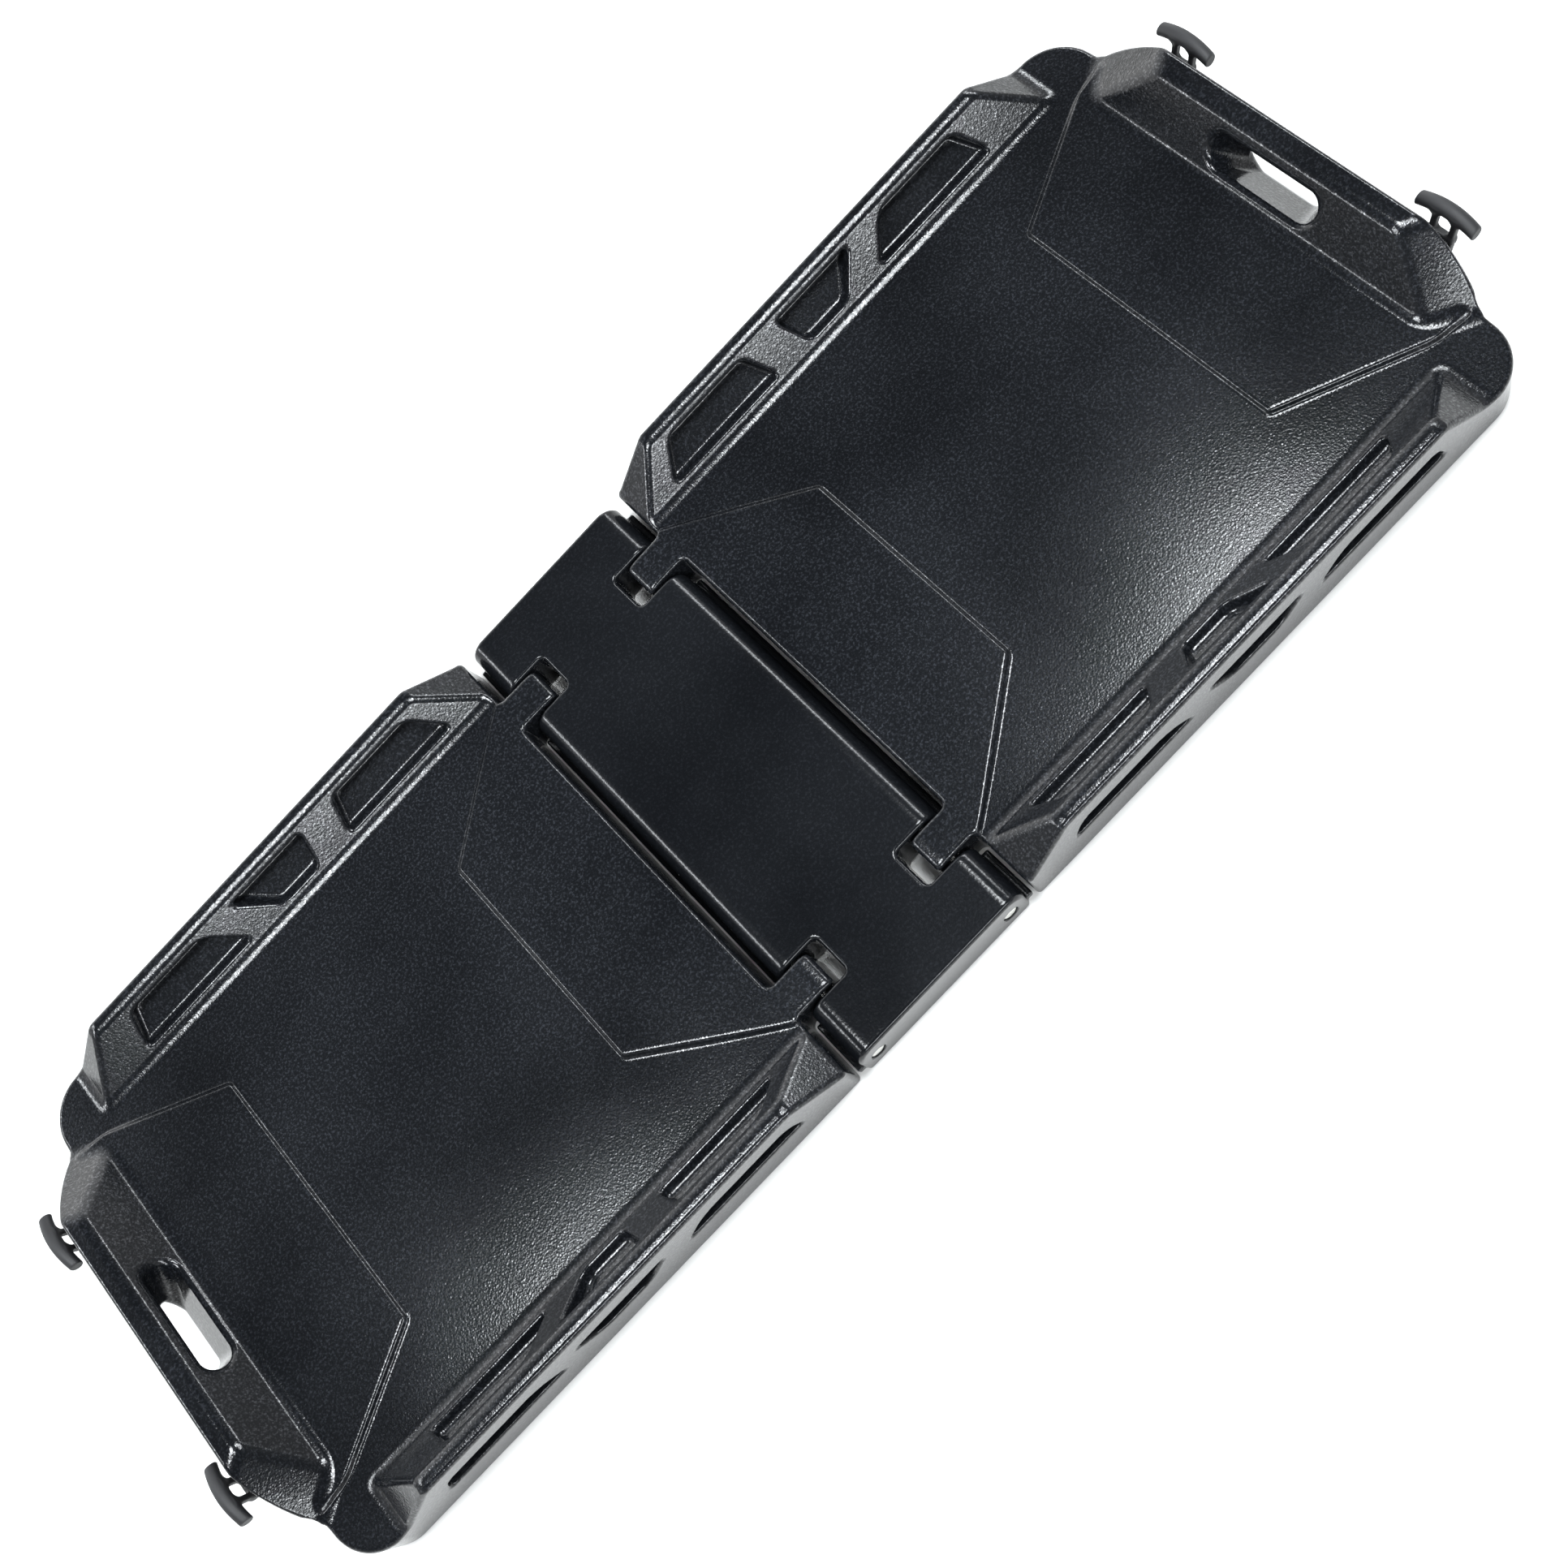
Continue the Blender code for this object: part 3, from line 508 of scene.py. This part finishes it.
def metal(name, colour, dull, roughness, edge_wear_and_highlight_tone):
    """Brushed metal with duller spots and bright worn edges."""
    n = Nodes(name)
    brushed = n.add("ShaderNodeMapping", {"Vector": n.where, "Scale": (1.0, 0.08, 1.0)})
    lines = n.add("ShaderNodeTexNoise", {"Vector": brushed.outputs[0], "Scale": 2200.0, "Detail": 3.0})
    n.bump(lines.outputs["Fac"], 0.25, 0.00005)
    spots = n.spread(n.noise(120, 6.0), 0.45, 0.7, 0, 1)
    tone = n.mix(spots, colour, dull)
    tone = n.mix(n.math("MULTIPLY", n.edge_wear_and_highlight(0.52, 0.6), 0.8), tone, edge_wear_and_highlight_tone)
    return n.finish(tone, n.spread(spots, 0, 1, roughness, roughness + 0.15), Metallic=1.0)


board = board_plastic("board_plastic_look", 420.0, 0.00010, 1.0)
spine_look = board_plastic("spine_plastic_look", 380.0, 0.00006, 0.3)
tread_look = plain_plastic("tread_plastic_look")
rubber_look = rubber("latch_rubber_look")
bright_steel = metal("steel_look", (0.62, 0.61, 0.58, 1), (0.42, 0.41, 0.4, 1), 0.24, (0.8, 0.79, 0.76, 1))
black_steel = metal("dark_steel_look", (0.05, 0.05, 0.055, 1), (0.08, 0.078, 0.075, 1), 0.34,
                    (0.35, 0.34, 0.33, 1))


# ---- pieces ----

def show(mesh, name, body, look, replaced, where=None):
    mesh.materials.append(look)
    item = place(mesh, name, where)
    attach(item, body)
    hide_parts(replaced)
    return item


HALF_TURN = Matrix.Rotation(math.pi, 4, "Z")

panel_mesh = mesh_of(panel_solid, "panel", (KNUCKLE_END_X, -HALF_WIDTH, 0),
                     (BAR_OUTER_X, HALF_WIDTH, BAR_TOP_Z), BOARD_STEP)
spine_mesh = mesh_of(spine_solid, "spine", (-LIP_END_X, -HALF_WIDTH, 0),
                     (LIP_END_X, HALF_WIDTH, SPINE_TOP), BOARD_STEP)
strap_mesh = mesh_of(strap_solid, "strap", (-8, -28, -8), (24, 28, 56), STRAP_STEP)

show(spine_mesh, "spine_moulding", "spine", spine_look, "spine_body")
for letter, turn in (("a", Matrix.Identity(4)), ("b", HALF_TURN)):
    show(panel_mesh.copy(), "panel_%s_moulding" % letter, "panel_" + letter, board,
         "panel_%s_shell" % letter, turn)
    for number, side in ((1, 1), (2, -1)):
        code = "%s%d" % (letter, number)
        pivot = Matrix.Translation(Vector((PIVOT_X, side * LATCH_Y, PIVOT_Z)) * MM)
        show(strap_mesh.copy(), "strap_" + code, "latch_" + code, rubber_look,
             "latch_strap_" + code, turn @ pivot)

cover_screw_mesh = mesh_of(screw_solid(4.1, COVER_HEAD, 2.0, 17.7), "cover_screw",
                           (-4.2, -4.2, -18), (4.2, 4.2, 2.2), SCREW_STEP)
wall_screw_mesh = mesh_of(screw_solid(3.6, WALL_HEAD, 1.8, 16.0), "wall_screw",
                          (-3.7, -3.7, -16.4), (3.7, 3.7, 2.3), SCREW_STEP)
for name in sorted(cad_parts):
    if "screw" not in name:
        continue
    low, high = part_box(name)
    middle = (Vector(low) + Vector(high)) / 2
    body = "spine"
    if name.startswith("latch"):
        body = "panel_" + name.split("_")[2][0]
        outward = 1 if body == "panel_a" else -1
        seat = (high if outward > 0 else low)[0] - outward * WALL_HEAD * MM
        turn = Matrix.Rotation(outward * math.pi / 2, 4, "Y")
        where = Matrix.Translation((seat, middle.y, middle.z)) @ turn
        mesh = wall_screw_mesh
    else:
        if name.startswith("panel"):
            body = name[:7]
        turn = Matrix.Rotation(math.pi, 4, "X")
        where = Matrix.Translation((middle.x, middle.y, low[2] + COVER_HEAD * MM)) @ turn
        mesh = cover_screw_mesh
    show(mesh.copy(), name + "_look", body, black_steel, name, where)

CAD_LOOKS = {"bracket": black_steel, "cover": tread_look, "tread": tread_look, "rod": bright_steel,
             "pin": bright_steel}
for name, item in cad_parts.items():
    if "screw" in name or name.endswith(("shell", "body")) or "strap" in name:
        continue
    look = next(material for key, material in CAD_LOOKS.items() if key in name)
    for slot in item.material_slots:
        slot.material = look
    if "bracket" in name or "cover" in name or "tread" in name:
        bevel = item.modifiers.new("edges", "BEVEL")
        bevel.width = 0.0006
        bevel.segments = 3
        bevel.limit_method = "ANGLE"
        bevel.angle_limit = math.radians(40)
        bevel.harden_normals = True


# ---- studio ----

def stage_floor():
    mesh = bpy.data.meshes.new("floor")
    mesh.from_pydata([(-20, -20, 0), (20, -20, 0), (20, 20, 0), (-20, 20, 0)], [], [(0, 1, 2, 3)])
    floor = place(mesh, "studio_floor", Matrix.Translation((0, 0, -0.0002)))
    n = Nodes("floor_look")
    mesh.materials.append(n.finish((0.88, 0.87, 0.85, 1), 0.9))


def softbox(name, where, target, size, power):
    light = bpy.data.lights.new(name, "AREA")
    light.shape = "RECTANGLE"
    light.size, light.size_y = size
    light.energy = power
    light.color = (0.93, 0.97, 1.0)
    item = bpy.data.objects.new(name, light)
    bpy.context.scene.collection.objects.link(item)
    item.location = where
    item.rotation_euler = (Vector(target) - Vector(where)).to_track_quat("-Z", "Y").to_euler()


def ramp_node(tree, factor, stops):
    """Grey or tinted levels along a 0 to 1 factor; stops are (position, colour) pairs."""
    node = tree.nodes.new("ShaderNodeValToRGB")
    tree.links.new(factor, node.inputs["Fac"])
    elements = node.color_ramp.elements
    (elements[0].position, elements[0].color), (elements[1].position, elements[1].color) = stops[0], stops[-1]
    for position, colour in stops[1:-1]:
        elements.new(position).color = colour
    return node.outputs["Color"]


def studio_world():
    """White surround, darker overhead and to the left and right."""
    world = bpy.data.worlds.new("studio")
    world.use_nodes = True
    tree = world.node_tree
    direction = tree.nodes.new("ShaderNodeTexCoord").outputs["Generated"]
    split = tree.nodes.new("ShaderNodeSeparateXYZ")
    tree.links.new(direction, split.inputs[0])
    upward = [(0.0, (1.0, 1.0, 1.0, 1))]
    for height, level in ((0.4, 0.85), (0.6, 0.34), (0.8, 0.11), (0.9, 0.04)):
        upward.append((height, (level * 0.94, level * 0.97, level, 1)))
    upward.append((0.97, (0.008, 0.009, 0.01, 1)))
    heights = ramp_node(tree, split.outputs["Z"], upward)

    along = tree.nodes.new("ShaderNodeMapRange")
    along.inputs["From Min"].default_value = -1.0
    tree.links.new(split.outputs["Y"], along.inputs["Value"])
    front_to_back = ((0.05, 0.45), (0.3, 0.35), (0.7, 0.35), (0.95, 1.4))
    around = ramp_node(tree, along.outputs["Result"],
                       [(position, (level, level, level, 1)) for position, level in front_to_back])
    product = tree.nodes.new("ShaderNodeVectorMath")
    product.operation = "MULTIPLY"
    tree.links.new(heights, product.inputs[0])
    tree.links.new(around, product.inputs[1])
    background = tree.nodes["Background"]
    tree.links.new(product.outputs["Vector"], background.inputs["Color"])
    background.inputs["Strength"].default_value = 2.0
    bpy.context.scene.world = world


def camera():
    lens_pixels = 2200.0
    image_width = 1932.0
    data = bpy.data.cameras.new("camera")
    data.sensor_width = 36.0
    data.lens = 36.0 * lens_pixels / image_width
    right = Vector((0.68771267, -0.65529043, -0.31248317))
    down = Vector((-0.72462811, -0.64587261, -0.24033867))
    ahead = Vector((-0.04433269, 0.39171804, -0.91901664))
    turn = Matrix((right, -down, -ahead)).transposed().to_4x4()
    item = bpy.data.objects.new("camera", data)
    bpy.context.scene.collection.objects.link(item)
    item.matrix_world = Matrix.Translation((0.08604594, -0.60498559, 1.34781647)) @ turn
    bpy.context.scene.camera = item


stage_floor()
studio_world()
camera()
softbox("right_box", (0.66, -0.05, 1.75), (0.36, -0.2, 0.0), (0.6, 0.7), 38)
softbox("left_box", (-0.78, -0.06, 1.75), (-0.4, -0.2, 0.0), (0.55, 0.65), 32)
softbox("front", (0.0, -2.2, 1.62), (0.0, 0.0, 0.0), (3.0, 0.36), 58)
softbox("right_strip", (2.0, 1.04, 1.3), (0.0, 0.0, 0.0), (1.3, 0.3), 20)
softbox("left_strip", (-2.0, 1.04, 1.3), (0.0, 0.0, 0.0), (1.3, 0.3), 20)
bpy.context.scene.view_settings.view_transform = "Standard"
